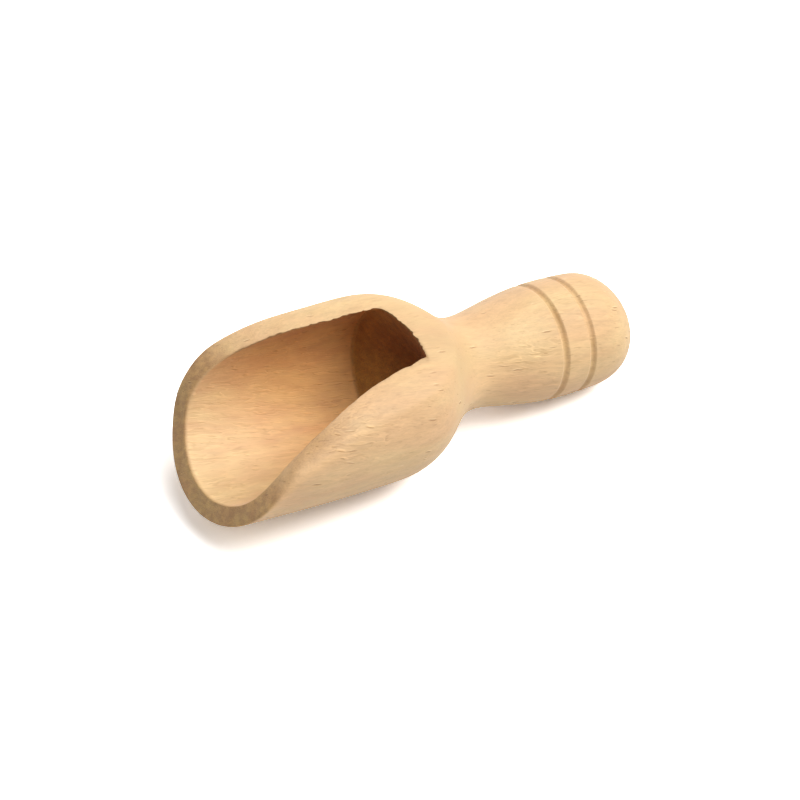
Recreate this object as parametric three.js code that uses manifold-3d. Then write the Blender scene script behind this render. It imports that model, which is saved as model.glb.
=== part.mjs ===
// Small turned wooden scoop: a bored bowl with a slanted, curved mouth, a narrow neck and a
// bulbous handle with two turned grooves. Millimetres, +Z up. The scoop lies on its belly and its
// handle with the opening up; +X runs from the mouth to the handle.
import * as THREE from "three";
import { mergeVertices } from "three/addons/utils/BufferGeometryUtils.js";
import Module from "manifold-3d";

// ---- driving dimensions -------------------------------------------------------------------
const LENGTH = 80; // lip to butt, along the turning axis
const SIDES = 48; // facets round the axis; one facet faces straight down
const TILT_DEG = 8.343; // the axis falls towards the handle when belly and handle touch the table
const S_NECK = 48.5; // narrowest ring of the neck, where bowl and handle meet

// outside radius of the turned blank, by distance from the lip
const OUTSIDE = [
  [0, 15.3], [8, 15.49], [16, 15.66], [24, 15.64], [29, 15.59], [32.5, 15.4], [36, 14.6],
  [39, 13.06], [42, 10.64], [44.5, 8.8], [46.5, 8.02], [49, 7.82], [52, 8.22],
  [56, 8.95], [60, 9.53], [64, 9.82], [67, 9.83], [70, 9.72], [73, 9.55],
];
const CAP_START = 71; // the butt rounds over from here
const CAP_REACH = 9.25; // semi-axis of the rounded butt; it is sanded flat at LENGTH
const CAP_POWER = 2.45; // 2 would be an ellipse; the butt is a little squarer

const GROOVES = [62.65, 68.0]; // two turned rings round the handle
const GROOVE_WIDTH = 1.5;
const GROOVE_DEPTH = 0.42;

const BORE_R = 12.3; // drilled hollow
const BORE_DEPTH = 35.15; // to the corner where the wall meets the pointed end
const BORE_POINT = 0.57; // rise of the pointed end per unit radius

// side view of the mouth cut: distance from the lip, height above the axis
const MOUTH = [
  [-2.15, -20.3], [-0.2, -15.3], [2.25, -9.0], [4.42, -3.2], [6.6, 0.25], [9.4, 3.0],
  [13.2, 5.4], [17.6, 7.4], [22.5, 8.9], [27.5, 9.85], [32.5, 10.42], [37.5, 10.75], [46, 11.1],
];
const MOUTH_STEPS = 4; // straight steps between two points of the cut

// ---- helpers --------------------------------------------------------------------------------
// Natural cubic spline through points [x, y].
function spline(points) {
  const n = points.length;
  const x = points.map((p) => p[0]);
  const y = points.map((p) => p[1]);
  const m = new Array(n).fill(0);
  const c = new Array(n).fill(0);
  const d = new Array(n).fill(0);
  for (let i = 1; i < n - 1; i++) {
    const a = x[i] - x[i - 1];
    const b = x[i + 1] - x[i];
    const rhs = 6 * ((y[i + 1] - y[i]) / b - (y[i] - y[i - 1]) / a);
    const den = 2 * (a + b) - a * c[i - 1];
    c[i] = b / den;
    d[i] = (rhs - a * d[i - 1]) / den;
  }
  for (let i = n - 2; i > 0; i--) m[i] = d[i] - c[i] * m[i + 1];
  return (t) => {
    let i = 0;
    while (i < n - 2 && t > x[i + 1]) i++;
    const h = x[i + 1] - x[i];
    const a = (x[i + 1] - t) / h;
    const b = (t - x[i]) / h;
    return a * y[i] + b * y[i + 1] + (((a ** 3 - a) * m[i] + (b ** 3 - b) * m[i + 1]) * h * h) / 6;
  };
}

const turned = spline(OUTSIDE);

// Outside radius at a distance from the lip, with the rounded butt and the grooves.
function radius(s) {
  let r = turned(Math.max(s, 0));
  if (s > CAP_START) r *= Math.sqrt(Math.max(0, 1 - ((s - CAP_START) / CAP_REACH) ** CAP_POWER));
  for (const g of GROOVES) {
    const u = Math.abs(s - g) / (GROOVE_WIDTH / 2);
    if (u < 1) r -= GROOVE_DEPTH * (1 - u * u) ** 1.4;
  }
  return r;
}

// Solid turned round +X from a list of [s, r]; flats lie on the true radius.
function turn(profile, grow = 1 / Math.cos(Math.PI / SIDES)) {
  const points = profile.map(([s, r]) => new THREE.Vector2(r * grow, s));
  const geometry = new THREE.LatheGeometry(points, SIDES, Math.PI / SIDES);
  geometry.rotateZ(-Math.PI / 2);
  return bare(geometry);
}

// Positions only, shared vertices merged, slivers on the axis dropped.
function bare(geometry) {
  geometry.deleteAttribute("normal");
  geometry.deleteAttribute("uv");
  const merged = mergeVertices(geometry, 1e-4);
  const index = merged.index.array;
  const keep = [];
  for (let i = 0; i < index.length; i += 3) {
    const [a, b, c] = [index[i], index[i + 1], index[i + 2]];
    if (a !== b && b !== c && c !== a) keep.push(a, b, c);
  }
  merged.setIndex(keep);
  return merged;
}

const wasm = await Module();
wasm.setup();

function solid(geometry) {
  return new wasm.Manifold(
    new wasm.Mesh({
      numProp: 3,
      vertProperties: new Float32Array(geometry.attributes.position.array),
      triVerts: new Uint32Array(geometry.index.array),
    }),
  );
}

function geometryOf(manifold) {
  const mesh = manifold.getMesh();
  const geometry = new THREE.BufferGeometry();
  geometry.setAttribute("position", new THREE.BufferAttribute(mesh.vertProperties, 3));
  geometry.setIndex(new THREE.BufferAttribute(mesh.triVerts, 1));
  geometry.computeVertexNormals();
  return geometry;
}

function stations(from, to, step) {
  const n = Math.max(1, Math.round((to - from) / step));
  return Array.from({ length: n + 1 }, (_, i) => from + ((to - from) * i) / n);
}

// ---- bowl: turned blank, less the drilled hollow, less the mouth cut --------------------------
const bowlStations = [...stations(-2, 28, 5), ...stations(29.5, S_NECK, 1.5)];
const blank = turn([[-2, 0], ...bowlStations.map((s) => [s, radius(s)]), [S_NECK, 0]]);
const bore = turn(
  [[-5, 0], [-5, BORE_R], [BORE_DEPTH, BORE_R], [BORE_DEPTH + BORE_POINT * BORE_R, 0]],
  1 / Math.sqrt(Math.cos(Math.PI / SIDES)),
);

// The mouth cut is one outline in the side view, pushed straight through from side to side.
function mouthTool() {
  const along = [0];
  for (let i = 1; i < MOUTH.length; i++)
    along.push(along[i - 1] + Math.hypot(MOUTH[i][0] - MOUTH[i - 1][0], MOUTH[i][1] - MOUTH[i - 1][1]));
  const sOf = spline(MOUTH.map((p, i) => [along[i], p[0]]));
  const zOf = spline(MOUTH.map((p, i) => [along[i], p[1]]));
  const outline = [];
  for (let i = 1; i < MOUTH.length; i++)
    for (let k = 0; k < MOUTH_STEPS; k++) {
      const t = along[i - 1] + ((along[i] - along[i - 1]) * k) / MOUTH_STEPS;
      outline.push(new THREE.Vector2(sOf(t), zOf(t)));
    }
  const [endS, endZ] = MOUTH[MOUTH.length - 1];
  outline.push(new THREE.Vector2(endS, endZ));
  outline.push(new THREE.Vector2(endS, 30), new THREE.Vector2(-12, 30), new THREE.Vector2(-12, MOUTH[0][1]));
  const geometry = new THREE.ExtrudeGeometry(new THREE.Shape(outline), {
    depth: 60,
    bevelEnabled: false,
    curveSegments: 1,
  });
  geometry.rotateX(Math.PI / 2); // side-view height becomes +Z, the depth runs along -Y
  geometry.translate(0, 30, 0);
  return bare(geometry);
}

const bowlGeometry = geometryOf(solid(blank).subtract(solid(bore)).subtract(solid(mouthTool())));

// ---- handle: turned grip with two grooves and a rounded butt ----------------------------------
const grooveStations = GROOVES.flatMap((g) => [-0.5, -0.3, 0, 0.3, 0.5].map((u) => g + u * GROOVE_WIDTH));
const [g1, g2] = GROOVES;
const handleStations = [
  ...stations(S_NECK, g1 - 1.5, 1.9),
  ...grooveStations.slice(0, 5),
  ...stations(g1 + 1.4, g2 - 1.4, 1.3),
  ...grooveStations.slice(5),
  ...stations(g2 + 1.5, 74, 1.3),
  ...[75.2, 76.3, 77.3, 78.1, 78.8, 79.3, 79.7, LENGTH],
];
const handleGeometry = turn([[S_NECK, 0], ...handleStations.map((s) => [s, radius(s)]), [LENGTH, 0]]);

// ---- the scoop on its table -------------------------------------------------------------------
const wood = { roughness: 0.62, metalness: 0 };
const bowl = new THREE.Mesh(bowlGeometry, new THREE.MeshStandardMaterial({ color: 0xdcb488, ...wood }));
bowl.name = "bowl";
const handle = new THREE.Mesh(handleGeometry, new THREE.MeshStandardMaterial({ color: 0xd9b083, ...wood }));
handle.name = "handle";

const lying = new THREE.Group();
lying.add(bowl, handle);
lying.rotation.y = THREE.MathUtils.degToRad(TILT_DEG);

// The origin is under the middle of the scoop, on the table.
const scoop = new THREE.Group();
scoop.add(lying);
scoop.updateMatrixWorld(true);
const box = new THREE.Box3().setFromObject(scoop, true);
lying.position.set(-(box.min.x + box.max.x) / 2, 0, -box.min.z);

export default scoop;
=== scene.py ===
"""Looks of a small turned wooden scoop: one piece of pale close-grained hardwood with a drilled
bowl, a slanted curved mouth, a narrow neck and a bulbous handle with two turned grooves."""

import math

import bpy
import numpy as np
from mathutils import Matrix, Vector


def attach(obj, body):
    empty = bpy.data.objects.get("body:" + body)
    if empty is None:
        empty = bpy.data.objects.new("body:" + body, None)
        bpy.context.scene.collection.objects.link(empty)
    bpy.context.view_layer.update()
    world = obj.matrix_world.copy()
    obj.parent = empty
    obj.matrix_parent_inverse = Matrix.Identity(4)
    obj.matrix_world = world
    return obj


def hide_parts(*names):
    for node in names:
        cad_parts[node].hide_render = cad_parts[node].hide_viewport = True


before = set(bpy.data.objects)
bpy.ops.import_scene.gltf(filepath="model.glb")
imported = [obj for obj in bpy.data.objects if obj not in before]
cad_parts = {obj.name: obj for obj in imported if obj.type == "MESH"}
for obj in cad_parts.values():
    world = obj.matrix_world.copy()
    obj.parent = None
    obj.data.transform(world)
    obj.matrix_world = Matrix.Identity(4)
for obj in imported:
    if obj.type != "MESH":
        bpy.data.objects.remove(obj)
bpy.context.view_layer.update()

# ---- shape of the scoop, in millimetres ---------------------------------------------------------
# s runs along the turning axis from the lip to the butt, y across, z up square to the axis.
TILT = math.radians(8.343)
PLACE = np.array([-38.53228381401195, 0.0, 19.95037502751475])
LENGTH = 80.0
S_NECK = 48.5
OUTSIDE = np.array([
    (0, 15.3), (8, 15.49), (16, 15.66), (24, 15.64), (29, 15.59), (32.5, 15.40), (36, 14.60),
    (39, 13.06), (42, 10.64), (44.5, 8.80), (46.5, 8.02), (49, 7.82), (52, 8.22),
    (56, 8.95), (60, 9.53), (64, 9.82), (67, 9.83), (70, 9.72), (73, 9.55),
])
CAP_START, CAP_REACH, CAP_POWER = 71.0, 9.25, 2.45
BUTT_LEAN = 0.09  # the butt was parted off a little out of square
GROOVES = (62.65, 68.0)
GROOVE_WIDTH, GROOVE_DEPTH = 1.5, 0.42
BORE_R, BORE_DEPTH, BORE_POINT = 12.3, 35.15, 0.57
MOUTH = np.array([
    (-2.15, -20.3), (-0.2, -15.3), (2.25, -9.0), (4.42, -3.2), (6.6, 0.25), (9.4, 3.0),
    (13.2, 5.4), (17.6, 7.4), (22.5, 8.9), (27.5, 9.85), (32.5, 10.42), (37.5, 10.75), (46, 11.1),
])
# outer rim sanded back, by height: hardly at the lip, well over on the -Y side, little on the +Y side
BEVEL_Z = (-16.0, -9.0, -6.8, -5.1, -3.6, -2.0, -0.1, 1.4, 2.7, 3.9, 5.5, 9.0)
BEVEL_NEAR = (0.12, 0.16, 0.22, 0.30, 0.42, 0.52, 0.76, 1.15, 1.65, 2.05, 2.30, 2.40)
BEVEL_FAR = 0.3
EDGE_IN = 0.1  # the inner rim is only just broken
CHIP = 0.3  # deepest tear in it
CORNER = 0.15  # soft corner where the drill left the wall
# slow changes in the wood's tone, its lightness partly painted light and shade: place along, degrees from the top
# towards -Y, reach along, reach round, then how much more straw than pink it is and how much lighter
OUTER_TONES = (
    (54.0, 28, 6.0, 22, 0.50, 0.04), (64.0, 5, 8.0, 18, 0.45, 0.0), (68.0, 41, 5.0, 12, 0.20, 0.015),
    (47.5, 85, 4.0, 25, 0.45, 0.09), (46.0, 25, 4.0, 30, 0.40, 0.0), (41.5, 40, 3.0, 45, 0.30, -0.075),
    (36.0, 30, 3.5, 25, -0.05, -0.06), (37.0, 13, 4.0, 13, 0.0, -0.05), (28.0, 51, 5.0, 9, -0.05, -0.05), (16.0, 63, 8.0, 10, 0.0, -0.09),
    (40.0, 12, 3.0, 14, 0.0, -0.045), (44.5, 38, 3.0, 20, 0.0, -0.035), (27.0, -42, 4.0, 12, 0.2, -0.03), (74.0, 50, 3.0, 30, 0.35, 0.0), (38.5, -18, 4.0, 18, 0.05, -0.03),
    (20.0, 88, 9.0, 11, 0.45, 0.01), (13.0, 97, 4.0, 10, 0.45, -0.03), (4.0, 110, 3.0, 18, -0.20, 0.14),
)
# inside the bore the lightness is painted light and shade: lighter on the deep far wall, darker deep below and at the
# lip
INNER_TONES_AND_SHADE = (
    (30.0, -107, 7.0, 14, 0.0, 0.11), (29.0, -137, 6.0, 12, 0.0, -0.06),
    (11.0, -157, 8.0, 16, 0.10, 0.03), (3.0, 172, 2.5, 25, 0.0, -0.08),
)

# where the tool lifted the fibres, drawn as painted highlights and shadows: place along, degrees, reach along, reach
# round, amount
LIFTED = (
    (18.5, 64, 5.5, 14, 0.7), (20.0, 80, 9.0, 24, 0.5), (55.5, 57, 3.4, 12, 1.3), (58.0, 75, 6.0, 26, 0.5),
    (66.0, 25, 4.5, 40, 0.7), (37.0, 10, 4.0, 30, 0.4),
    (20.0, -95, 10.0, 40, 0.5), (58.0, -80, 8.0, 50, 0.5), (20.0, 180, 12.0, 35, 0.4), (60.0, 170, 9.0, 45, 0.4),
)
# painted shade in each groove, lighter and darker round the way: degrees, reach round, amount
GROOVE_SHADE = (
    ((25, 14, 0.50), (50, 8, 0.22), (-12, 14, 0.16), (70, 7, -0.14), (-120, 30, 0.2), (170, 20, 0.2)),
    ((-20, 10, 0.16), (36, 10, -0.18), (60, 6, 0.22), (-90, 20, 0.2), (150, 25, 0.15)),
)

COLUMNS = 480
ROWS_CONE, ROWS_WALL, ROWS_CUT, ROWS_SIDE = 12, 38, 20, 48
RELAX, SMOOTH = 40, 1


def natural(x, y):
    """Natural cubic spline through points, going on straight along the last piece outside them."""
    x, y = np.asarray(x, float), np.asarray(y, float)
    n, h = len(x), np.diff(x)
    a, b = np.eye(n), np.zeros(n)
    for i in range(1, n - 1):
        a[i, i - 1 : i + 2] = h[i - 1], 2 * (h[i - 1] + h[i]), h[i]
        b[i] = 6 * ((y[i + 1] - y[i]) / h[i] - (y[i] - y[i - 1]) / h[i - 1])
    m = np.linalg.solve(a, b)

    def at(t):
        t = np.asarray(t, float)
        i = np.clip(np.searchsorted(x, t, side="left") - 1, 0, n - 2)
        w = x[i + 1] - x[i]
        p, q = (x[i + 1] - t) / w, (t - x[i]) / w
        return p * y[i] + q * y[i + 1] + ((p**3 - p) * m[i] + (q**3 - q) * m[i + 1]) * w * w / 6

    return at


turned = natural(OUTSIDE[:, 0], OUTSIDE[:, 1])


def radius(s):
    """Outside radius without the grooves."""
    s = np.asarray(s, float)
    r = turned(np.maximum(s, 0))
    cap = np.clip((s - CAP_START) / CAP_REACH, 0, 1)
    return r * np.sqrt(1 - cap**CAP_POWER)


def grooved(s):
    """Outside radius of the handle with its two turned grooves."""
    r = radius(s)
    for g in GROOVES:
        u = np.abs(s - g) / (GROOVE_WIDTH / 2)
        r = r - GROOVE_DEPTH * np.clip(1 - u * u, 0, 1) ** 1.4
    return r


def mouth_line():
    """The mouth cut seen from the side: s and slope ds/dz by height z."""
    along = np.concatenate([[0], np.cumsum(np.hypot(*np.diff(MOUTH, axis=0).T))])
    t = np.linspace(0, along[-1], 6000)
    s, z = natural(along, MOUTH[:, 0])(t), natural(along, MOUTH[:, 1])(t)
    s = np.append(s, s[-1] + 2 * (s[-1] - s[-60]) / (z[-1] - z[-60]))
    z = np.append(z, z[-1] + 2)
    return z, s, np.gradient(s, z)


CUT_Z, CUT_S, CUT_SLOPE = mouth_line()


def cut_s(z):
    return np.interp(z, CUT_Z, CUT_S)


def cut_z(s):
    return np.interp(s, CUT_S, CUT_Z)


def smooth_max(a, b, k):
    return np.maximum(a, b) + np.clip(k - np.abs(a - b), 0, None) ** 2 / (4 * k)


def smooth_step(lo, hi, x):
    t = np.clip((x - lo) / (hi - lo), 0, 1)
    return t * t * (3 - 2 * t)


def value_noise(seed, x, step):
    """Smooth noise along a line, from -1 to 1, the same on every run."""
    table = np.random.RandomState(seed).uniform(-1, 1, 512)
    u = np.asarray(x, float) / step + 200
    i = np.floor(u).astype(int)
    t = u - i
    t = t * t * (3 - 2 * t)
    return table[i % 512] * (1 - t) + table[(i + 1) % 512] * t


def bore_radius(s, y, z):
    """The bore is a hair tighter at the lip, and ran a little off line at its far end, towards +Y and up."""
    upper = smooth_step(5, 9, z)
    return (
        BORE_R - 0.17 * (1 - smooth_step(5, 18, s))
        - 0.2 * upper * smooth_step(32.5, 35, s) * (1 - smooth_step(-3, 3, y))
        + 0.2 * upper * smooth_step(27, 31, s) * smooth_step(2, 5, y)
    )


def end_lean(y, z):
    """The upper half of the bore's end is a little out of square."""
    return 0.04 * y * smooth_step(5, 9, z)


def parts_of(p):
    """Distance-like values of the turned outside, the mouth cut and the hollow: above 0 outside each."""
    s, y, z = p[:, 0], p[:, 1], p[:, 2]
    rho = np.hypot(y, z)
    slope = (radius(s + 0.02) - radius(s - 0.02)) / 0.04
    # the +Y side of the mouth stands a little proud where the rim starts to climb
    proud = 0.42 * smooth_step(6, 12, y) * smooth_step(-2, 3, z) * (1 - smooth_step(7, 10.5, z)) * (1 - smooth_step(13, 26, s))
    outside = (rho - radius(s) - proud) / np.sqrt(1 + slope**2)
    lean = 0.4 * smooth_step(8, 14, y) * smooth_step(-10, -4, z) * (1 - smooth_step(2, 7, z))
    cut = (cut_s(z - lean) - s) / np.sqrt(1 + np.interp(z - lean, CUT_Z, CUT_SLOPE) ** 2)
    wall = rho - bore_radius(s, y, z)
    end = (s + end_lean(y, z) - BORE_DEPTH - BORE_POINT * (BORE_R - rho)) / math.sqrt(1 + BORE_POINT**2)
    # the +Y corner of the opening broke away round
    round_off = CORNER + 0.6 * smooth_step(6, 9, z) * smooth_step(2, 5, y)
    return outside, cut, smooth_max(wall, end, round_off)


def torn(p):
    """How much the drill tore the inner rim: along the +Y side and over the end of the bore."""
    s, y = p[:, 0], p[:, 1]
    rear = smooth_step(34.3, 35.3, s)

    def rough(seed, u):
        return 0.5 * value_noise(seed, u, 0.5) + 0.45 * value_noise(seed + 2, u, 1.7) + 0.45 * value_noise(seed + 5, u, 0.3)

    n = np.where(y > 0, rough(3, s), rough(23, s)) * (1 - rear) + rough(43, y) * rear
    where = np.maximum(smooth_step(2, 6, y) * smooth_step(9, 15, s), smooth_step(33.5, 35, s))
    where = np.maximum(where, 0.35 * smooth_step(12, 22, s) + 0.35 * smooth_step(24, 31, s))
    where = where * (1 - 0.85 * np.exp(-(((s - BORE_DEPTH) / 1.2) ** 2) - ((np.abs(y) - 6.2) / 1.4) ** 2))
    return np.clip(n + 0.12, 0, 1) * where


def shape(p, tear):
    """Below 0 in the wood of the bowl, 0 on its surface."""
    y, z = p[:, 1], p[:, 2]
    outside, cut, hollow = parts_of(p)
    near = 1 - smooth_step(-4, 6, y)
    leg_near = np.interp(z, BEVEL_Z, BEVEL_NEAR)
    leg_far = 0.12 + (BEVEL_FAR - 0.12) * smooth_step(-2, 6, z) + 0.55 * smooth_step(8, 10, z)
    leg = leg_far + (leg_near - leg_far) * near
    soft = 0.22 + 0.85 * near * smooth_step(-5, 4, z) + 0.2 * smooth_step(4, 9, z)
    bevel = (outside + cut + leg) / math.sqrt(2)
    blank = smooth_max(smooth_max(outside, cut, 0.2), bevel, soft)
    chipped = CHIP * tear * np.exp(-((cut / 0.5) ** 2))
    edge = EDGE_IN + (0.3 * (1 - smooth_step(-7, 0, z)) + 0.55 * smooth_step(-7, -2, z) * (1 - smooth_step(2, 5, z))) * smooth_step(0, 8, y)
    return smooth_max(blank, chipped - hollow, edge)


def settle(p, steps=10):
    """Moves points onto the surface along the steepest way, straight across the tears."""
    h = 0.004
    for _ in range(steps):
        tear = torn(p)
        f = shape(p, tear)
        g = np.stack([(shape(p + h * e, tear) - shape(p - h * e, tear)) / (2 * h) for e in np.eye(3)], 1)
        g2 = np.maximum((g * g).sum(1), 0.25)
        p = p - np.clip(f / g2, -0.4, 0.4)[:, None] * g
    return p


def solve(function, low, high, steps=60):
    """Root of a function that falls from plus to minus between low and high."""
    low, high = low.copy(), high.copy()
    for _ in range(steps):
        mid = (low + high) / 2
        up = function(mid) > 0
        low, high = np.where(up, mid, low), np.where(up, high, mid)
    return (low + high) / 2


def crowded(n, near_start, near_end):
    """n steps from 0 to 1 (0 left out), closer together near the ends."""
    t = np.linspace(0, 1, 2001)
    d = 1 + near_start * np.exp(-t / 0.07) + near_end * np.exp(-(1 - t) / 0.07)
    c = np.concatenate([[0], np.cumsum((d[1:] + d[:-1]) / 2)])
    return np.interp(np.linspace(0, 1, n + 1)[1:], c / c[-1], t)


def scoop_mesh():
    cone = math.sqrt(1 + BORE_POINT**2)

    def inner_rim(up, side):
        """Plain inner rim, on the wall or near the top on the pointed end, and where that end starts."""
        def wall(s):
            return bore_radius(s, BORE_R * side, BORE_R * up)

        end_r = wall(np.full(len(up), BORE_DEPTH))
        end_s = BORE_DEPTH + BORE_POINT * (BORE_R - end_r)
        low, high = np.full(len(up), 11.5), np.full(len(up), 13.0)
        on_wall = solve(lambda r: wall(cut_s(r * up)) - r, low, high)
        on_end = solve(lambda r: BORE_DEPTH + BORE_POINT * (BORE_R - r) - cut_s(r * up), 0 * low, end_r)
        first = cut_s(on_wall * up) <= end_s
        return first, np.where(first, on_wall, on_end), end_r, end_s

    def outer_rim(up):
        return solve(lambda r: radius(cut_s(r * up)) - r, np.full(len(up), 7.0), np.full(len(up), 16.5))

    def on_cut(rho, up, side):
        return np.stack([cut_s(rho * up), rho * side, rho * up], 1)

    # columns round the axis, from the top, spread along the inner rim and closest where it is torn
    t = np.linspace(-math.pi, math.pi, 7201)
    edge = on_cut(inner_rim(-np.cos(t), np.sin(t))[1], -np.cos(t), np.sin(t))
    mid = (edge[1:] + edge[:-1]) / 2
    step = np.linalg.norm(np.diff(edge, axis=0), axis=1)
    fine = np.maximum(smooth_step(1, 5, mid[:, 1]) * smooth_step(7, 13, mid[:, 0]), smooth_step(32, 35, mid[:, 0]))
    share = step * (0.5 + 1.3 * fine + 0.7 * smooth_step(10, 20, mid[:, 0]) * (1 - fine))
    share = 0.72 * share / share.sum() + 0.28 / len(share)
    turn = np.interp(np.linspace(0, 1, COLUMNS + 1)[:-1], np.concatenate([[0], np.cumsum(share)]), t)
    up, side = -np.cos(turn), np.sin(turn)
    on_wall, rho_in, end_r, end_s = inner_rim(up, side)
    base = on_cut(rho_in, up, side)
    reach = np.where(on_wall, end_r * cone + end_s - base[:, 0], rho_in * cone)
    corner = np.minimum(end_r * cone, reach - 1.2)

    # the real inner rim, with its tears and its round corner: across the plain one, seen from above
    along = np.concatenate([[0], np.cumsum(step)])
    here = np.interp(turn, t, along)
    way = [np.interp(here + 0.5, along, edge[:, i]) - np.interp(here - 0.5, along, edge[:, i]) for i in (0, 1)]
    way = np.stack([-way[1], way[0]], 1) / np.hypot(*way)[:, None]
    tear = CHIP * torn(base)

    def from_above(d):
        s, y = base[:, 0] + d * way[:, 0], base[:, 1] + d * way[:, 1]
        return np.stack([s, y, cut_z(s)], 1)

    level = from_above(solve(lambda d: tear - parts_of(from_above(d))[2], np.full(COLUMNS, -1.5), np.full(COLUMNS, 1.5)))
    upright = on_cut(solve(lambda r: tear - parts_of(on_cut(r, up, side))[2], rho_in - 1.5, rho_in + 1.0), up, side)
    rim = np.where((base[:, 0] > 9)[:, None], level, upright)

    # outer rim: each column crosses the cut about square, so it goes on at another angle outside
    half = np.linspace(0, math.pi, 4001)
    z_in = inner_rim(-np.cos(half), -np.sin(half))[1] * -np.cos(half)
    z_out = outer_rim(-np.cos(half)) * -np.cos(half)
    z_in, z_out = np.maximum.accumulate(z_in), np.maximum.accumulate(z_out)
    pairs = np.array([
        (z_in[0], z_out[0]), (-6, -7), (0, 0), (8, 8.05), (cut_z(30), cut_z(30.8)),
        (cut_z(BORE_DEPTH), cut_z(37.6)), (z_in[-1], z_out[-1]),
    ])
    out_turn = np.interp(np.interp(z_in, pairs[:, 0], pairs[:, 1]), z_out, half)
    out_turn = np.sign(turn) * np.interp(np.abs(turn), half, out_turn)
    up_out, side_out = -np.cos(out_turn), np.sin(out_turn)
    outer = on_cut(outer_rim(up_out), up_out, side_out)

    rows = []

    def inside(u):
        on_cone = u <= end_r * cone
        s = np.where(on_cone, BORE_DEPTH + BORE_POINT * (BORE_R - u / cone), end_s - (u - end_r * cone))
        rho = np.where(on_cone, u / cone, bore_radius(s, BORE_R * side, BORE_R * up))
        return np.stack([s, rho * side, rho * up], 1)

    for f in crowded(ROWS_CONE, 0.0, 1.6):
        rows.append(inside(corner * f))
    for f in crowded(ROWS_WALL, 2.5, 3.5):
        rows.append(inside(corner + (reach - corner) * f) + (rim - base) * f**8)
    for f in crowded(ROWS_CUT, 0.8, 0.6):
        row = rim + (outer - rim) * f
        row[:, 0] = cut_s(row[:, 2])
        rows.append(row)
    for f in crowded(ROWS_SIDE, 4.0, 0.0):
        s = outer[:, 0] + (S_NECK - outer[:, 0]) * f
        rows.append(np.stack([s, radius(s) * side_out, radius(s) * up_out], 1))
    bowl_rows = len(rows)

    # handle stations: close together in the grooves and over the butt
    stations = list(np.linspace(S_NECK, GROOVES[0] - 1.0, 16)[1:])
    for g in GROOVES:
        stations += list(g + np.linspace(-0.86, 0.86, 17))
    stations += list(np.linspace(GROOVES[0] + 1.1, GROOVES[1] - 1.1, 5))
    stations += list(np.linspace(GROOVES[1] + 1.1, 73.5, 6))
    a = np.linspace(math.asin((73.5 - CAP_START) / CAP_REACH), math.asin((LENGTH - 0.06 - CAP_START) / CAP_REACH), 22)
    stations += list(CAP_START + CAP_REACH * np.sin(a[1:]))
    flat = float(grooved(LENGTH))
    stations = [(s, float(grooved(s))) for s in sorted(stations)]
    stations += [(LENGTH - ds, flat * f) for f, ds in ((0.94, 0.022), (0.84, 0.0), (0.5, 0.0))]
    for s, rho in stations:
        row = np.stack([np.full(COLUMNS, s), rho * side_out, rho * up_out], 1)
        row[:, 0] -= BUTT_LEAN * row[:, 2] * smooth_step(70, 79, s)
        rows.append(row)

    p = np.array(rows)
    part = p[:bowl_rows].reshape(-1, 3)
    near = part[:, 0] < 46.5
    part[near] = settle(part[near])
    # points that the tears pushed together spread out again over the surface
    _, to_cut, to_hollow = parts_of(part)
    loose = 0.5 * np.exp(-((to_cut / 0.8) ** 2) - (to_hollow / 0.8) ** 2)
    loose = np.where((part[:, 0] > 9) & (part[:, 0] < 40), loose, 0.0)
    some = loose > 0.01
    for i in range(RELAX + SMOOTH):
        grid = part.reshape(bowl_rows, COLUMNS, 3)
        middle = (np.roll(grid, 1, 0) + np.roll(grid, -1, 0) + np.roll(grid, 1, 1) + np.roll(grid, -1, 1)) / 4
        part = part + loose[:, None] * (middle.reshape(-1, 3) - part)
        if i < RELAX:
            part[some] = settle(part[some], 3)
    p[:bowl_rows] = part.reshape(bowl_rows, COLUMNS, 3)

    tip = settle(np.array([[BORE_DEPTH + BORE_POINT * BORE_R, 1e-4, 0.0]]))[0]
    tip[1] = 0
    points = np.vstack([p.reshape(-1, 3), [tip], [[LENGTH, 0, 0]]])
    n = len(rows)
    ring = np.arange(COLUMNS)
    after = np.roll(ring, -1)
    quads = []
    for i in range(n - 1):
        a, b = i * COLUMNS, (i + 1) * COLUMNS
        quads.append(np.stack([a + ring, a + after, b + after, b + ring], 1))
    faces = np.vstack(quads).tolist()
    faces += [(n * COLUMNS, int(b), int(a)) for a, b in zip(ring, after)]
    last = (n - 1) * COLUMNS
    faces += [(n * COLUMNS + 1, int(last + a), int(last + b)) for a, b in zip(ring, after)]
    # faces turn outwards
    q = np.vstack(quads)
    v = points
    volume = (np.einsum("ij,ij->i", v[q[:, 0]], np.cross(v[q[:, 1]], v[q[:, 2]]))
              + np.einsum("ij,ij->i", v[q[:, 0]], np.cross(v[q[:, 2]], v[q[:, 3]]))).sum()
    if volume < 0:
        faces = [tuple(reversed(f)) for f in faces]
    return points, faces


def to_world(p):
    c, s = math.cos(TILT), math.sin(TILT)
    return np.stack([
        p[:, 0] * c + p[:, 2] * s + PLACE[0],
        p[:, 1] + PLACE[1],
        -p[:, 0] * s + p[:, 2] * c + PLACE[2],
    ], 1) / 1000


points, faces = scoop_mesh()
mesh = bpy.data.meshes.new("scoop")
mesh.from_pydata(to_world(points).tolist(), [], faces)
mesh.polygons.foreach_set("use_smooth", [True] * len(mesh.polygons))
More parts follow.
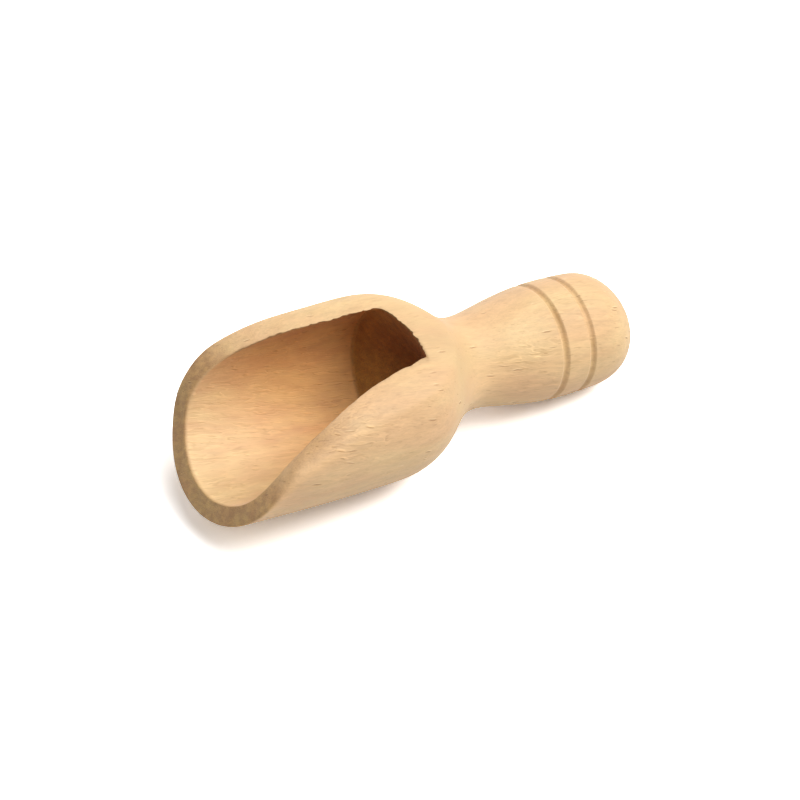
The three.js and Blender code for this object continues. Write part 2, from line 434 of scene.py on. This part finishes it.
# how close a point is to the torn inner rim, and to the corner at the end of the bore: masks for the dark torn fibres
# with painted shade along the rim, and for painted shade in the corner
_, to_cut, to_hollow = parts_of(points)
rear = smooth_step(33, 35, points[:, 0])
far = smooth_step(2, 6, points[:, 1]) * smooth_step(8, 14, points[:, 0])
rim_tears_and_shade = np.exp(-((to_cut / (0.3 + 0.2 * np.maximum(rear, far))) ** 2) - (to_hollow / 0.3) ** 2) * np.clip(0.25 + 0.4 * rear + 0.3 * far + 1.2 * torn(points), 0, 1)
rim_tears_and_shade = rim_tears_and_shade * smooth_step(-0.02, 0.1, -to_cut)
rho = np.hypot(points[:, 1], points[:, 2])
# painted shade where the wall of the bore meets its end
corner_shade = np.exp(-(((rho - BORE_R) / 0.22) ** 2) - ((points[:, 0] - BORE_DEPTH) / 0.22) ** 2) * smooth_step(0.1, 0.5, -to_cut)
in_bore = (1 - smooth_step(0.0, 0.35, np.abs(to_hollow))) * smooth_step(0.05, 0.6, -to_cut) * (points[:, 0] < 45)
in_end = in_bore * smooth_step(-0.12, 0.08, points[:, 0] + end_lean(points[:, 1], points[:, 2]) - BORE_DEPTH) * (rho < BORE_R + 0.2)
in_end = in_end * (0.6 + 0.4 * smooth_step(0.15, 0.8, -to_cut))
# painted shade and warm bounce light in the bore, browner with depth, sooner on the upper wall
deep_warm_shade = in_bore * smooth_step(8, 30, points[:, 0] + 0.8 * (points[:, 2] + 11))


def tones(table):
    """Straw and lightness over the points, from soft spots."""
    angle = np.degrees(np.arctan2(-points[:, 1], points[:, 2]))
    straw, light = np.zeros(len(points)), np.zeros(len(points))
    for s, a, along, turn, more_straw, lighter in table:
        away = np.abs((angle - a + 180) % 360 - 180)
        weight = np.exp(-(((points[:, 0] - s) / along) ** 2) - (away / turn) ** 2)
        straw, light = straw + more_straw * weight, light + lighter * weight
    return straw, light


def away_from(a):
    """Degrees round the axis from a, for each point."""
    angle = np.degrees(np.arctan2(-points[:, 1], points[:, 2]))
    return np.abs((angle - a + 180) % 360 - 180)


lifted = np.full(len(points), 0.25)
for s, a, along, turn, amount in LIFTED:
    lifted += amount * np.exp(-(((points[:, 0] - s) / along) ** 2) - (away_from(a) / turn) ** 2)
lifted = np.where(in_bore > 0.5, 0.8, lifted * (1 - 0.85 * np.exp(-(((points[:, 0] - 44.0) / 4.5) ** 2))))
# painted shade in the grooves, strongest a little past their middle
groove_shade = np.zeros(len(points))
for at, spots in zip(GROOVES, GROOVE_SHADE):
    amount = 0.41 + 0.09 * value_noise(int(at), away_from(-150), 5.0)
    for a, turn, more in spots:
        amount = amount + more * np.exp(-((away_from(a) / turn) ** 2))
    groove_shade = np.maximum(groove_shade, np.clip(amount, 0, 1) * (1 - smooth_step(0.12, 0.62, np.abs(points[:, 0] - at - 0.16))))
# the steep shoulder was sanded smooth
plain = np.where(in_bore > 0.5, 0.0, smooth_step(0.25, 0.6, np.abs(radius(points[:, 0] + 0.02) - radius(points[:, 0] - 0.02)) / 0.04) * (points[:, 0] < 50))
butt = smooth_step(75.5, 79.0, points[:, 0])

# straw tone, and lightness that is partly painted light and shade
straw, light = (np.where(in_bore > 0.5, i, o) for i, o in zip(tones(INNER_TONES_AND_SHADE), tones(OUTER_TONES)))
# end grain: the steep part of the mouth cut, the drilled end, and the middle of the butt
steep = 1 / np.sqrt(1 + np.interp(points[:, 2], CUT_Z, CUT_SLOPE) ** 2)
near_side = 1 - smooth_step(-6, 2, points[:, 1])
# on the -Y side it is sanded lighter above the lip, then tan as far as the sanded rim
near_end = np.interp(points[:, 2], (-6, -3.5, -2, -0.2, 1.6, 3.2, 4.6, 5.7, 6.6, 7.5), (1, 0.95, 0.74, 0.33, 0.32, 0.5, 0.8, 0.55, 0.25, 0))
end_grain = smooth_step(0.38, 0.75, steep) * (1 - near_side) + near_end * near_side
sanded = near_side * smooth_step(1.5, 3.5, points[:, 2]) * (1 - smooth_step(6, 8, points[:, 2])) * smooth_step(0.1, 0.5, to_hollow)
end_grain = np.exp(-((to_cut / (0.25 + 0.65 * sanded)) ** 2)) * end_grain * (points[:, 0] < 30)
end_grain = np.maximum(np.maximum(end_grain, in_end), 0.5 * smooth_step(76, 79.5, points[:, 0]))
for name, value in (("rim", rim_tears_and_shade), ("corner", corner_shade), ("bore", in_bore), ("warm_shade", deep_warm_shade), ("drilled", in_end), ("end", end_grain), ("straw", straw), ("light", light), ("lifted", lifted), ("groove_shade", groove_shade), ("plain", plain), ("butt", butt)):
    mesh.attributes.new(name, "FLOAT", "POINT").data.foreach_set("value", value.astype(np.float32))
mesh.update()
scoop = bpy.data.objects.new("scoop", mesh)
bpy.context.scene.collection.objects.link(scoop)


# ---- wood -----------------------------------------------------------------------------------------
class Graph:
    """Short ways to make and join shader nodes."""

    def __init__(self, tree):
        self.tree = tree

    def put(self, socket, value):
        if isinstance(value, bpy.types.NodeSocket):
            self.tree.links.new(value, socket)
        elif value is not None:
            socket.default_value = value

    def node(self, kind, values=(), **settings):
        made = self.tree.nodes.new(kind)
        for name, value in settings.items():
            setattr(made, name, value)
        for name, value in dict(values).items():
            self.put(made.inputs[name], value)
        return made

    def math(self, operation, *values, clamp=False):
        made = self.node("ShaderNodeMath", operation=operation, use_clamp=clamp)
        for i, value in enumerate(values):
            self.put(made.inputs[i], value)
        return made.outputs[0]

    def vector(self, operation, *values, out="Vector"):
        made = self.node("ShaderNodeVectorMath", operation=operation)
        for i, value in enumerate(values):
            self.put(made.inputs[i], value)
        return made.outputs[out]

    def range(self, value, a, b, c=0.0, d=1.0, kind="SMOOTHSTEP"):
        made = self.node("ShaderNodeMapRange", interpolation_type=kind, clamp=True)
        for i, x in enumerate((value, a, b, c, d)):
            self.put(made.inputs[i], x)
        return made.outputs[0]

    def noise(self, vector, scale=1.0, detail=2.0, roughness=0.5, out="Fac"):
        made = self.node("ShaderNodeTexNoise", {"Vector": vector, "Scale": scale, "Detail": detail, "Roughness": roughness})
        return made.outputs[out]

    def cells(self, vector, out="Distance", randomness=1.0):
        made = self.node("ShaderNodeTexVoronoi", {"Vector": vector, "Scale": 1.0, "Randomness": randomness})
        return made.outputs[out]

    def mix(self, amount, a, b, blend="MIX"):
        made = self.node("ShaderNodeMix", data_type="RGBA", blend_type=blend)
        self.put(made.inputs[0], amount)
        self.put(made.inputs[6], a)
        self.put(made.inputs[7], b)
        return made.outputs[2]

    def xyz(self, x, y, z):
        return self.node("ShaderNodeCombineXYZ", {"X": x, "Y": y, "Z": z}).outputs[0]

    def split(self, vector):
        return self.node("ShaderNodeSeparateXYZ", {"Vector": vector}).outputs


def wood_material():
    """Pale beech: slow warm and straw patches, growth rings, fibres, ray flecks, pores, darker end grain."""
    material = bpy.data.materials.new("wood")
    material.use_nodes = True
    tree = material.node_tree
    tree.nodes.clear()
    g = Graph(tree)
    out = g.node("ShaderNodeOutputMaterial")
    shader = g.node("ShaderNodeBsdfPrincipled")
    tree.links.new(shader.outputs[0], out.inputs["Surface"])
    place = g.node("ShaderNodeTexCoord")
    # millimetres along the turning axis, across it and up
    local = g.node("ShaderNodeMapping", {"Vector": place.outputs["Object"]}, vector_type="TEXTURE")
    local.inputs["Location"].default_value = tuple(PLACE / 1000)
    local.inputs["Rotation"].default_value = (0, TILT, 0)
    local.inputs["Scale"].default_value = (0.001, 0.001, 0.001)
    p = local.outputs[0]

    # the grain wanders a little along the piece
    drift = g.vector("SUBTRACT", g.noise(g.vector("MULTIPLY", p, (0.034, 0.06, 0.06)), 1.0, 2.0, 0.5, "Color"), (0.5, 0.5, 0.5))
    q = g.vector("MULTIPLY_ADD", drift, (0.0, 3.0, 3.0), p)
    s, y, z = g.split(q)
    # distance from the tree's centre, and the way round it
    ya = g.math("MULTIPLY_ADD", s, 0.12, g.math("ADD", y, -40.0))
    za = g.math("MULTIPLY_ADD", s, 0.12, g.math("ADD", z, 40.0))
    depth = g.math("SQRT", g.math("ADD", g.math("MULTIPLY", ya, ya), g.math("MULTIPLY", za, za)))
    round_ = g.math("MULTIPLY", g.math("ARCTAN2", za, ya), 58.0)
    r = g.xyz(s, depth, round_)

    # growth rings: a slow darkening and a quick return, each year of its own strength
    year = g.math("DIVIDE", depth, 2.2)
    phase = g.math("FRACT", year)
    late = g.math("MULTIPLY", g.range(phase, 0.15, 0.8), g.range(phase, 0.8, 1.0, 1.0, 0.0))
    own = g.node("ShaderNodeTexWhiteNoise", {"W": g.math("FLOOR", year)}, noise_dimensions="1D").outputs["Value"]
    late = g.math("MULTIPLY", late, g.range(own, 0.0, 1.0, 0.35, 1.0, "LINEAR"))

    fibre = g.noise(g.vector("MULTIPLY", r, (0.24, 1.4, 1.6)), 1.0, 3.0, 0.55)
    fine = g.noise(g.vector("MULTIPLY", r, (0.45, 6.5, 6.5)), 1.0, 2.0, 0.5)
    streak = g.noise(g.vector("MULTIPLY", r, (0.09, 0.5, 0.6)), 1.0, 2.0, 0.5)
    patch = g.noise(g.vector("MULTIPLY", r, (0.04, 0.15, 0.15)), 1.0, 2.0, 0.5)

    # rays: thin dark dashes along the grain, long ones and short ones, the long ones with a painted highlight beside
    # them where lifted fibre catches the light
    bend = g.noise(g.vector("MULTIPLY", r, (0.5, 0.6, 0.6)), 1.0, 1.0, 0.5)
    bent = g.vector("ADD", r, g.xyz(0.0, 0.0, g.math("MULTIPLY", bend, 0.5)))

    def dashes(at, cell, small, large, seldom):
        cells = g.node("ShaderNodeTexVoronoi", {"Vector": g.vector("DIVIDE", at, cell), "Scale": 1.0, "Randomness": 1.0})
        lots = g.split(cells.outputs["Color"])
        size = g.range(lots[1], 0.0, 1.0, small, large, "LINEAR")
        made = g.range(cells.outputs["Distance"], g.math("MULTIPLY", size, 0.45), size, 1.0, 0.0)
        return g.math("MULTIPLY", made, g.range(lots[0], seldom, seldom + 0.35, 0.0, 1.0, "LINEAR"))

    dash = dashes(bent, (7.0, 2.6, 0.74), 0.1, 0.21, 0.2)
    dash_highlight = dashes(g.vector("ADD", bent, (0.25, 0.0, 0.16)), (7.0, 2.6, 0.74), 0.1, 0.21, 0.2)
    short = dashes(bent, (3.3, 1.3, 0.5), 0.1, 0.22, 0.3)
    butt = g.node("ShaderNodeAttribute", attribute_name="butt").outputs["Fac"]
    bore = g.node("ShaderNodeAttribute", attribute_name="bore").outputs["Fac"]
    fewer = g.math("MULTIPLY", g.range(butt, 0.0, 1.0, 1.0, 0.25, "LINEAR"), g.range(bore, 0.0, 1.0, 1.0, 0.6, "LINEAR"))
    dash, dash_highlight, short = (g.math("MULTIPLY", made, fewer) for made in (dash, dash_highlight, short))

    # lifted fibres, in patches: pale curls and flecks painted as highlights, each with a painted shadow beside it
    swing = g.vector("SUBTRACT", g.noise(g.vector("MULTIPLY", r, (0.3, 0.45, 0.45)), 1.0, 1.0, 0.5, "Color"), (0.5, 0.5, 0.5))
    swung = g.vector("MULTIPLY_ADD", swing, (0.0, 1.1, 1.1), r)
    curl = g.noise(g.vector("MULTIPLY", swung, (0.11, 1.2, 1.2)), 1.0, 1.0, 0.5)
    raised_highlight = g.range(g.math("ABSOLUTE", g.math("SUBTRACT", curl, 0.5)), 0.01, 0.06, 0.45, 0.0)
    shadow = g.range(g.math("ABSOLUTE", g.math("SUBTRACT", curl, 0.59)), 0.005, 0.05, 0.4, 0.0)
    raised_highlight = g.math("MAXIMUM", raised_highlight, dashes(swung, (4.4, 1.3, 0.62), 0.14, 0.34, 0.1))
    shadow = g.math("MAXIMUM", shadow, dashes(g.vector("ADD", swung, (0.3, -0.12, -0.2)), (4.4, 1.3, 0.62), 0.12, 0.3, 0.1))
    lifted = g.node("ShaderNodeAttribute", attribute_name="lifted").outputs["Fac"]
    spots = g.range(g.noise(g.vector("MULTIPLY", r, (0.22, 0.5, 0.5)), 1.0, 2.0, 0.5), 0.40, 0.58, 0.35, 1.0)
    lifted = g.math("MULTIPLY", lifted, spots)
    raised_highlight, shadow = g.math("MULTIPLY", raised_highlight, lifted), g.math("MULTIPLY", shadow, lifted)

    pore_cells = g.node("ShaderNodeTexVoronoi", {"Vector": g.vector("MULTIPLY", r, (1 / 1.7, 1 / 0.36, 1 / 0.36)), "Scale": 1.0, "Randomness": 1.0})
    pore = g.range(pore_cells.outputs["Distance"], 0.08, 0.26, 1.0, 0.0)
    pore = g.math("MULTIPLY", pore, g.range(g.split(pore_cells.outputs["Color"])[0], 0.4, 0.8, 0.0, 1.0, "LINEAR"))

    end = g.node("ShaderNodeAttribute", attribute_name="end").outputs["Fac"]
    dots = g.node("ShaderNodeTexVoronoi", {"Vector": g.vector("MULTIPLY", r, (0.4, 3.6, 4.6)), "Scale": 1.0, "Randomness": 1.0})
    speck = g.math("MULTIPLY", g.range(dots.outputs["Distance"], 0.1, 0.42, 1.0, 0.0), end)

    straw = g.node("ShaderNodeAttribute", attribute_name="straw").outputs["Fac"]
    light = g.node("ShaderNodeAttribute", attribute_name="light").outputs["Fac"]
    # the drilled wall is mottled rather than streaked
    mottle = g.math("MULTIPLY", g.math("SUBTRACT", g.noise(g.vector("MULTIPLY", r, (0.2, 0.34, 0.34)), 1.0, 2.0, 0.5), 0.5), bore)
    straw = g.math("MULTIPLY_ADD", mottle, 1.6, straw)
    straw = g.math("ADD", g.range(patch, 0.36, 0.64, 0.15, 0.85), straw, clamp=True)
    colour = g.mix(straw, (0.568, 0.350, 0.183, 1), (0.584, 0.400, 0.202, 1))
    calm = g.range(g.node("ShaderNodeAttribute", attribute_name="plain").outputs["Fac"], 0.0, 1.0, 1.0, 0.3, "LINEAR")
    years = g.math("MULTIPLY", g.range(end, 0.0, 1.0, 0.22, 0.5, "LINEAR"), calm)
    years = g.math("MULTIPLY_ADD", butt, 0.4, years)
    colour = g.mix(g.math("MULTIPLY", late, years), colour, (0.470, 0.282, 0.128, 1))
    shade = g.math("MULTIPLY", g.math("SUBTRACT", fibre, 0.5), 0.34)
    shade = g.math("MULTIPLY_ADD", g.math("SUBTRACT", streak, 0.5), 0.17, shade)
    shade = g.math("MULTIPLY_ADD", g.math("SUBTRACT", fine, 0.5), 0.24, shade)
    shade = g.math("MULTIPLY", shade, calm)
    shade = g.math("MULTIPLY", shade, g.range(bore, 0.0, 1.0, 1.0, 0.5, "LINEAR"))
    shade = g.math("MULTIPLY_ADD", mottle, 0.22, shade)
    shade = g.math("ADD", g.math("ADD", shade, light), 1.0)
    colour = g.mix(1.0, colour, g.xyz(shade, shade, shade), "MULTIPLY")
    colour = g.mix(g.math("MULTIPLY", raised_highlight, 0.85, clamp=True), colour, g.mix(1.0, colour, (1.27, 1.28, 1.24, 1), "MULTIPLY"))
    colour = g.mix(g.math("MULTIPLY", shadow, 0.8, clamp=True), colour, g.mix(1.0, colour, (0.66, 0.59, 0.47, 1), "MULTIPLY"))
    colour = g.mix(g.math("MULTIPLY", short, 0.4), colour, (0.360, 0.205, 0.092, 1))
    colour = g.mix(g.math("MULTIPLY", dash_highlight, 0.5), colour, (0.720, 0.520, 0.290, 1))
    colour = g.mix(g.math("MULTIPLY", dash, 0.8), colour, (0.345, 0.190, 0.082, 1))
    colour = g.mix(g.math("MULTIPLY", pore, 0.3), colour, (0.330, 0.190, 0.088, 1))
    cloud = g.noise(g.vector("MULTIPLY", r, (0.5, 0.75, 0.9)), 1.0, 3.0, 0.6)
    sawn = g.mix(g.range(cloud, 0.36, 0.64), (0.70, 0.63, 0.54, 1), (0.85, 0.79, 0.64, 1))
    colour = g.mix(end, colour, g.mix(1.0, colour, sawn, "MULTIPLY"))
    colour = g.mix(g.math("MULTIPLY", speck, 0.4), colour, (0.200, 0.110, 0.050, 1))

    # painted shade in the two grooves
    ring = g.node("ShaderNodeAttribute", attribute_name="groove_shade").outputs["Fac"]
    colour = g.mix(ring, colour, g.mix(1.0, colour, (0.70, 0.62, 0.47, 1), "MULTIPLY"))
    # in the bore painted warm bounce light and shade, browner the deeper it goes; its end is end grain darkened with
    # painted shade, most in the middle
    warm_shade = g.node("ShaderNodeAttribute", attribute_name="warm_shade").outputs["Fac"]
    drilled = g.node("ShaderNodeAttribute", attribute_name="drilled").outputs["Fac"]
    _, across, up = g.split(p)
    off_axis = g.math("SQRT", g.math("ADD", g.math("MULTIPLY", across, across), g.math("MULTIPLY", up, up)))
    brown = g.mix(warm_shade, (1.05, 1.07, 1.07, 1), (1.13, 0.92, 0.69, 1))
    colour = g.mix(bore, colour, g.mix(1.0, colour, brown, "MULTIPLY"))
    # end grain with painted shade: darkest near the axis, yellower low down
    end_grain_shade = g.mix(g.range(off_axis, 4.0, 12.0), (0.44, 0.31, 0.23, 1), (0.65, 0.535, 0.38, 1))
    end_grain_shade = g.mix(g.range(up, -6.0, 2.0, 1.0, 0.0), end_grain_shade, (0.69, 0.67, 0.475, 1))
    colour = g.mix(drilled, colour, g.mix(1.0, colour, end_grain_shade, "MULTIPLY"))
    # torn fibres on the inner rim, darkened further with painted shade; painted shade in the corner of the bore
    rim = g.node("ShaderNodeAttribute", attribute_name="rim").outputs["Fac"]
    corner = g.node("ShaderNodeAttribute", attribute_name="corner").outputs["Fac"]
    colour = g.mix(g.math("MULTIPLY", rim, 0.85), colour, (0.170, 0.085, 0.032, 1))
    colour = g.mix(g.math("MULTIPLY", corner, 0.25), colour, (0.150, 0.070, 0.028, 1))

    tree.links.new(colour, shader.inputs["Base Color"])
    rough = g.math("MULTIPLY_ADD", g.math("SUBTRACT", fibre, 0.5), 0.25, 0.58)
    rough = g.math("MULTIPLY_ADD", end, 0.14, rough)
    tree.links.new(rough, shader.inputs["Roughness"])
    height = g.math("MULTIPLY_ADD", fine, 0.5, g.math("MULTIPLY", fibre, 0.6))
    height = g.math("MULTIPLY_ADD", raised_highlight, 0.5, height)
    height = g.math("MULTIPLY_ADD", shadow, -0.5, height)
    height = g.math("MULTIPLY_ADD", dash, -0.9, height)
    height = g.math("MULTIPLY_ADD", dash_highlight, 0.4, height)
    height = g.math("MULTIPLY_ADD", short, -0.4, height)
    height = g.math("MULTIPLY_ADD", pore, -0.35, height)
    height = g.math("MULTIPLY_ADD", speck, -0.4, height)
    bump = g.node("ShaderNodeBump", {"Height": height})
    bump.inputs["Strength"].default_value = 0.5
    bump.inputs["Distance"].default_value = 0.00012
    tree.links.new(bump.outputs[0], shader.inputs["Normal"])
    shader.inputs["Specular IOR Level"].default_value = 0.35
    shader.inputs["Sheen Weight"].default_value = 0.06
    shader.inputs["Sheen Roughness"].default_value = 0.5
    return material


scoop.data.materials.append(wood_material())
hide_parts("bowl", "handle")
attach(scoop, "root")

# ---- floor, light and camera --------------------------------------------------------------------
scene = bpy.context.scene
scene.view_settings.view_transform = "Standard"

floor_mesh = bpy.data.meshes.new("floor")
floor_mesh.from_pydata([(-9, -9, 0), (9, -9, 0), (9, 9, 0), (-9, 9, 0)], [], [(0, 1, 2, 3)])
floor = bpy.data.objects.new("floor", floor_mesh)
scene.collection.objects.link(floor)
floor_material = bpy.data.materials.new("floor")
floor_material.use_nodes = True
paint = floor_material.node_tree.nodes["Principled BSDF"]
paint.inputs["Roughness"].default_value = 0.9
f = Graph(floor_material.node_tree)
# white to look at, a little greyer in the light it throws back
white = f.range(f.node("ShaderNodeLightPath").outputs["Is Camera Ray"], 0.0, 1.0, 0.74, 1.6, "LINEAR")
floor_material.node_tree.links.new(white, paint.inputs["Base Color"])
floor_mesh.materials.append(floor_material)

world = bpy.data.worlds.new("studio")
world.use_nodes = True
w = Graph(world.node_tree)
seen = w.node("ShaderNodeLightPath").outputs["Is Camera Ray"]
background = world.node_tree.nodes["Background"]
background.inputs["Color"].default_value = (1, 1, 1, 1)
world.node_tree.links.new(w.range(seen, 0.0, 1.0, 0.05, 1.0, "LINEAR"), background.inputs["Strength"])
scene.world = world


def soft_light(name, azimuth, elevation, width, strength):
    """Broad far-off soft box, width in degrees as the scoop sees it; azimuth from +X towards +Y."""
    a, e = math.radians(azimuth), math.radians(elevation)
    data = bpy.data.lights.new(name, "SUN")
    data.angle, data.energy = math.radians(width), strength
    made = bpy.data.objects.new(name, data)
    towards = Vector((math.cos(a) * math.cos(e), math.sin(a) * math.cos(e), math.sin(e)))
    made.location = towards
    made.rotation_euler = (-towards).to_track_quat("-Z", "Y").to_euler()
    scene.collection.objects.link(made)
    return made


soft_light("key", -45, 50, 45, 2.06)
soft_light("top", -45, 72, 45, 1.85)
soft_light("side", 0, 50, 45, 1.16)
soft_light("back", 90, 20, 45, 1.27)
soft_light("edge", 45, 20, 45, 0.39)
soft_light("fill", 200, 50, 45, 0.3)

camera_data = bpy.data.cameras.new("camera")
camera_data.sensor_width = 36
camera_data.lens = 180
camera_data.clip_start, camera_data.clip_end = 0.01, 20
camera = bpy.data.objects.new("camera", camera_data)
right = Vector((0.84958372, -0.52527566, 0.04788509))
down = Vector((-0.34478639, -0.62176684, -0.70322709))
ahead = Vector((0.39916144, 0.58094016, -0.70935088))
camera.matrix_world = Matrix((
    (right.x, -down.x, -ahead.x, -0.26116371),
    (right.y, -down.y, -ahead.y, -0.37695400),
    (right.z, -down.z, -ahead.z, 0.47022474),
    (0, 0, 0, 1),
))
scene.collection.objects.link(camera)
scene.camera = camera

bpy.context.view_layer.update()
